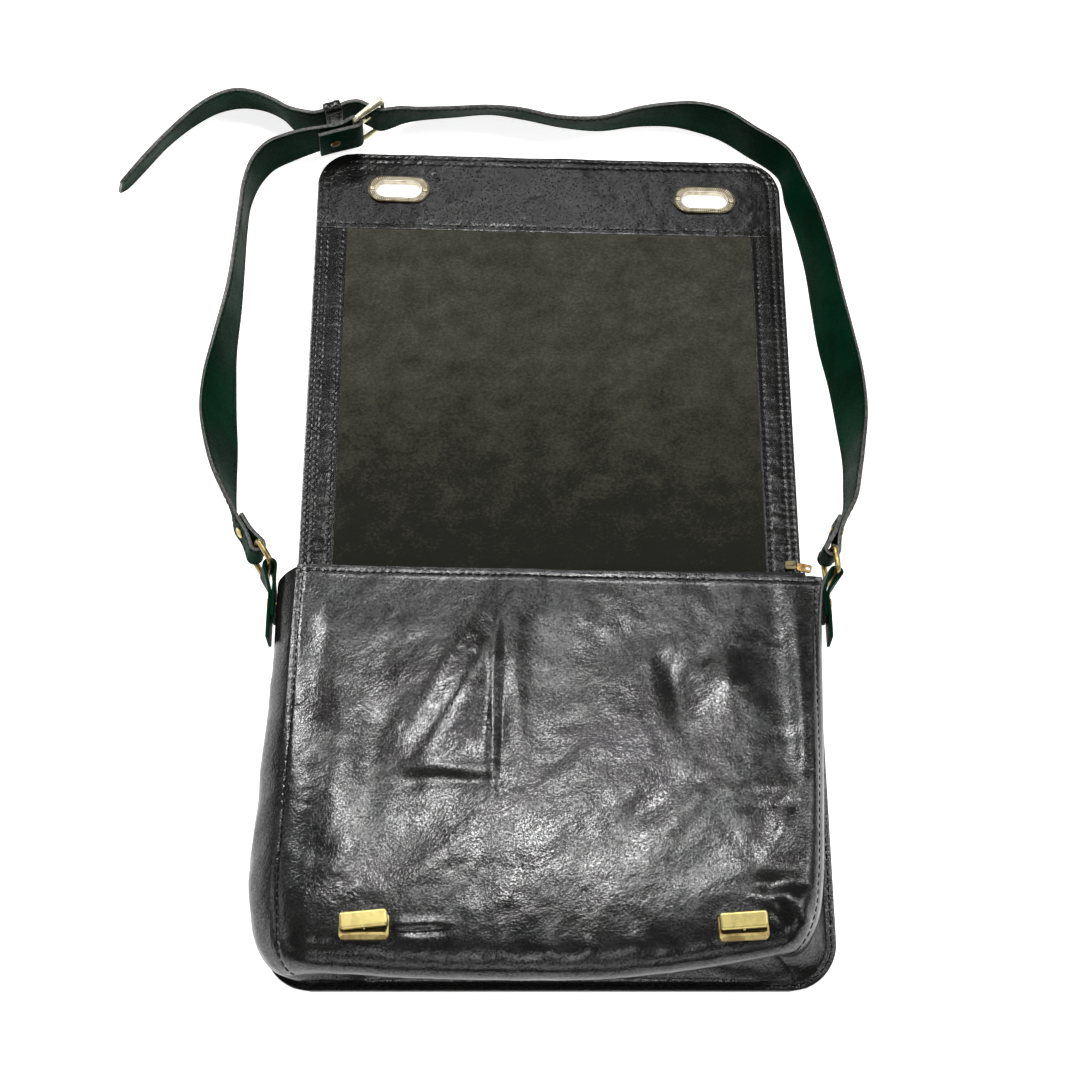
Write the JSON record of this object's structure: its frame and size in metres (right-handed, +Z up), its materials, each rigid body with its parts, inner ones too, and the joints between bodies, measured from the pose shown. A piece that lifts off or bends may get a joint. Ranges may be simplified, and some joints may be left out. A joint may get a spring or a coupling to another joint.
{
  "type": "leather messenger bag",
  "caption": "Soft leather messenger bag lying on its back with the flap thrown open, brass turn locks, slot plates, side rings and a buckled shoulder strap laid round the flap.",
  "frame": {"origin": "middle of the back panel's outer face, which lies on the surface", "axes": "+Z up from the surface through the bag's depth, +Y from the bag's bottom edge to the end of the open flap, +X to the right seen with the flap away"},
  "size_m": [0.5565, 0.6955, 0.0713],
  "materials": {
    "leather": "glossy black, creased",
    "suede": "dark olive suede, matt",
    "strap": "very dark green-black, satin",
    "brass": "polished, bright",
    "brass_tan": "tan gold, satin",
    "pale_brass": "pale champagne, knurled",
    "tape": "black woven tape"
  },
  "bodies": {
    "bag": {"back_and_flap": "leather", "flap_end_facing": "leather", "flap_lining": "suede", "front_panel": "leather", "zip_tape": "tape", "zip_slider": "brass", "zip_pull": "brass_tan", "side_tab_left": "strap", "tab_rivet_left": "brass", "side_tab_right": "strap", "tab_rivet_right": "brass", "gusset": "leather", "flap_side_facing_left": "leather", "slot_plate_left": "pale_brass", "ring_left": "brass", "lock_base_left": "brass", "flap_side_facing_right": "leather", "slot_plate_right": "pale_brass", "ring_right": "brass", "lock_base_right": "brass", "strap_rivet_left": "brass", "strap_rivet_right": "brass", "strap_long": "strap", "strap_short": "strap", "buckle_frame": "brass", "buckle_prong": "brass", "buckle_rivet": "brass", "strap_keeper": "strap"},
    "left_lock_bar": {"lock_bar_left": "brass"},
    "right_lock_bar": {"lock_bar_right": "brass"}
  },
  "joints": [
    {"name": "left_lock_turn", "type": "hinge", "parent": "bag", "child": "left_lock_bar", "pos_m": [-0.11615, -0.11042, 0.06612], "axis": [0.0013, -0.0271, 0.9996], "range_deg": [-5.6, 84.4]},
    {"name": "right_lock_turn", "type": "hinge", "parent": "bag", "child": "right_lock_bar", "pos_m": [0.12021, -0.11091, 0.06581], "axis": [0.0131, -0.0799, 0.9967], "range_deg": [-1, 89]}
  ]
}
